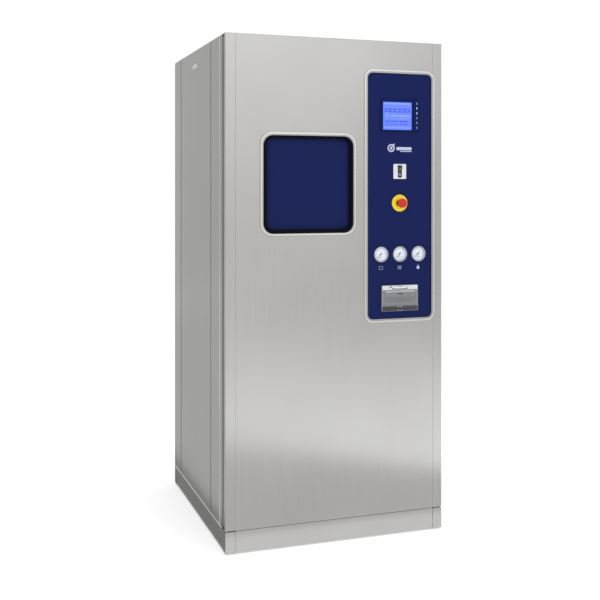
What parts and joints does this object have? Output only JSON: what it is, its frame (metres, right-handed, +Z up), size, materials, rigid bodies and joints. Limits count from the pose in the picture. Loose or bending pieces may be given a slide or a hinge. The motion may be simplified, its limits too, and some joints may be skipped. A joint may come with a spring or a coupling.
{
  "type": "steam steriliser",
  "caption": "Floor-standing steam steriliser: stainless cabinet, square chamber behind a sliding front door, upright control panel with display, gauges and printer.",
  "frame": {"origin": "on the floor, under the middle of the bounding box", "axes": "+Z up, the front faces -Y, +X to the right of a person who stands in front"},
  "size_m": [0.842, 0.9375, 1.82],
  "materials": {
    "cladding_steel": "brushed",
    "trim_steel": "polished",
    "frame_steel": "satin",
    "foot_steel": "zinc plated",
    "navy_enamel": "satin",
    "navy_moulding": "fine texture",
    "screen": "lit display",
    "lamp_white": "satin",
    "white_plastic": "satin",
    "black_plastic": "satin",
    "stop_yellow": "satin",
    "stop_red": "gloss",
    "machined_steel": "machined",
    "gauge_rim": "satin",
    "dial_white": "matte",
    "gauge_glass": "clear",
    "needle_black": "matte",
    "printer_grey": "satin",
    "paper": "matte",
    "slide_plastic": "smooth",
    "gasket_red": "matte",
    "cylinder_alloy": "anodised",
    "chamber_steel": "ground",
    "lagging": "mineral wool",
    "copper": "drawn",
    "brass": "cast",
    "pump_paint": "satin",
    "tank_plastic": "moulded",
    "cabinet_paint": "satin"
  },
  "bodies": {
    "cabinet": {"base_frame": "frame_steel", "upright_frame": "frame_steel", "levelling_feet": "foot_steel", "front_panel": "cladding_steel", "front_corner_posts": "cladding_steel", "window_trim": "trim_steel", "panel_trim": "trim_steel", "side_strips": "cladding_steel", "left_side_panel": "cladding_steel", "right_side_panel": "cladding_steel", "back_panel": "cladding_steel", "top_panel": "cladding_steel", "plinth_panels": "cladding_steel", "corner_foot_blocks": "cladding_steel", "control_panel": "navy_enamel", "display_bezel": "navy_moulding", "display_screen": "screen", "status_lamps": "lamp_white", "switch_frame": "white_plastic", "stop_plate": "stop_yellow", "stop_block": "black_plastic", "gauge_bodies": "gauge_rim", "gauge_dials": "dial_white", "gauge_lenses": "gauge_glass", "printer_body": "printer_grey", "door_guides": "machined_steel", "door_gasket": "gasket_red", "door_cylinder": "cylinder_alloy", "chamber": "chamber_steel", "chamber_jacket": "chamber_steel", "insulation": "lagging", "shelf_rack": "chamber_steel", "loading_tray": "chamber_steel", "steam_generator": "chamber_steel", "heating_elements": "copper", "safety_valve": "brass", "vacuum_pump": "pump_paint", "water_tank": "tank_plastic", "feed_pump": "pump_paint", "valve_manifold": "brass", "pipework": "copper", "electrical_cabinet": "cabinet_paint", "rear_connections": "trim_steel"},
    "door": {"door_plate": "machined_steel", "door_cover": "navy_enamel", "door_shoes": "slide_plastic", "cylinder_rod": "machined_steel"},
    "power_rocker": {"power_rocker": "black_plastic"},
    "stop_stem": {"stop_stem": "machined_steel"},
    "stop_head": {"stop_head": "stop_red"},
    "gauge_needle_1": {"gauge_needle_1": "needle_black"},
    "gauge_needle_2": {"gauge_needle_2": "needle_black"},
    "gauge_needle_3": {"gauge_needle_3": "needle_black"},
    "printer_cover": {"printer_cover": "printer_grey"},
    "printer_feed_button": {"printer_feed_button": "black_plastic"},
    "paper_roll": {"paper_roll": "paper"},
    "left_panel_lock": {"left_panel_lock": "trim_steel"},
    "right_panel_lock": {"right_panel_lock": "trim_steel"},
    "safety_lever": {"safety_lever": "machined_steel"},
    "pump_fan": {"pump_fan": "black_plastic"}
  },
  "joints": [
    {"name": "door_slide", "type": "slide", "parent": "cabinet", "child": "door", "axis": [0, 0, 1], "range_m": [-0.38, 0]},
    {"name": "power_rocker_tilt", "type": "hinge", "parent": "cabinet", "child": "power_rocker", "pos_m": [0.247, -0.4275, 1.34], "axis": [-1, 0, 0], "range_deg": [0, 16]},
    {"name": "stop_push", "type": "slide", "parent": "cabinet", "child": "stop_stem", "axis": [0, 1, 0], "range_m": [0, 0.005], "stiffness_N_per_m": 1500},
    {"name": "stop_twist", "type": "hinge", "parent": "stop_stem", "child": "stop_head", "pos_m": [0.247, -0.4525, 1.223], "axis": [0, 1, 0], "range_deg": [0, 35], "stiffness_Nm_per_rad": 0.05},
    {"name": "gauge_needle_1_turn", "type": "hinge", "parent": "cabinet", "child": "gauge_needle_1", "pos_m": [0.1715, -0.432, 1.0345], "axis": [0, 1, 0], "range_deg": [-45, 225], "stiffness_Nm_per_rad": 0.001},
    {"name": "gauge_needle_2_turn", "type": "hinge", "parent": "cabinet", "child": "gauge_needle_2", "pos_m": [0.247, -0.432, 1.0345], "axis": [0, 1, 0], "range_deg": [0, 270], "stiffness_Nm_per_rad": 0.001},
    {"name": "gauge_needle_3_turn", "type": "hinge", "parent": "cabinet", "child": "gauge_needle_3", "pos_m": [0.3225, -0.432, 1.0345], "axis": [0, 1, 0], "range_deg": [0, 270], "stiffness_Nm_per_rad": 0.001},
    {"name": "printer_cover_hinge", "type": "hinge", "parent": "cabinet", "child": "printer_cover", "pos_m": [0.247, -0.4357, 0.846], "axis": [1, 0, 0], "range_deg": [0, 100]},
    {"name": "printer_feed_press", "type": "slide", "parent": "cabinet", "child": "printer_feed_button", "axis": [0, 1, 0], "range_m": [0, 0.0015], "stiffness_N_per_m": 300},
    {"name": "paper_roll_spin", "type": "hinge", "parent": "cabinet", "child": "paper_roll", "pos_m": [0.247, -0.4045, 0.871], "axis": [1, 0, 0], "continuous": true},
    {"name": "left_lock_turn", "type": "hinge", "parent": "cabinet", "child": "left_panel_lock", "pos_m": [-0.418, 0.043, 1.754], "axis": [1, 0, 0], "range_deg": [0, 90]},
    {"name": "right_lock_turn", "type": "hinge", "parent": "cabinet", "child": "right_panel_lock", "pos_m": [0.418, 0.043, 1.754], "axis": [-1, 0, 0], "range_deg": [0, 90]},
    {"name": "safety_lever_lift", "type": "hinge", "parent": "cabinet", "child": "safety_lever", "pos_m": [-0.2395, 0.1998, 0.699], "axis": [0, -1, 0], "range_deg": [0, 25]},
    {"name": "pump_fan_spin", "type": "hinge", "parent": "cabinet", "child": "pump_fan", "pos_m": [0.278, 0.23, 0.157], "axis": [1, 0, 0], "continuous": true}
  ]
}
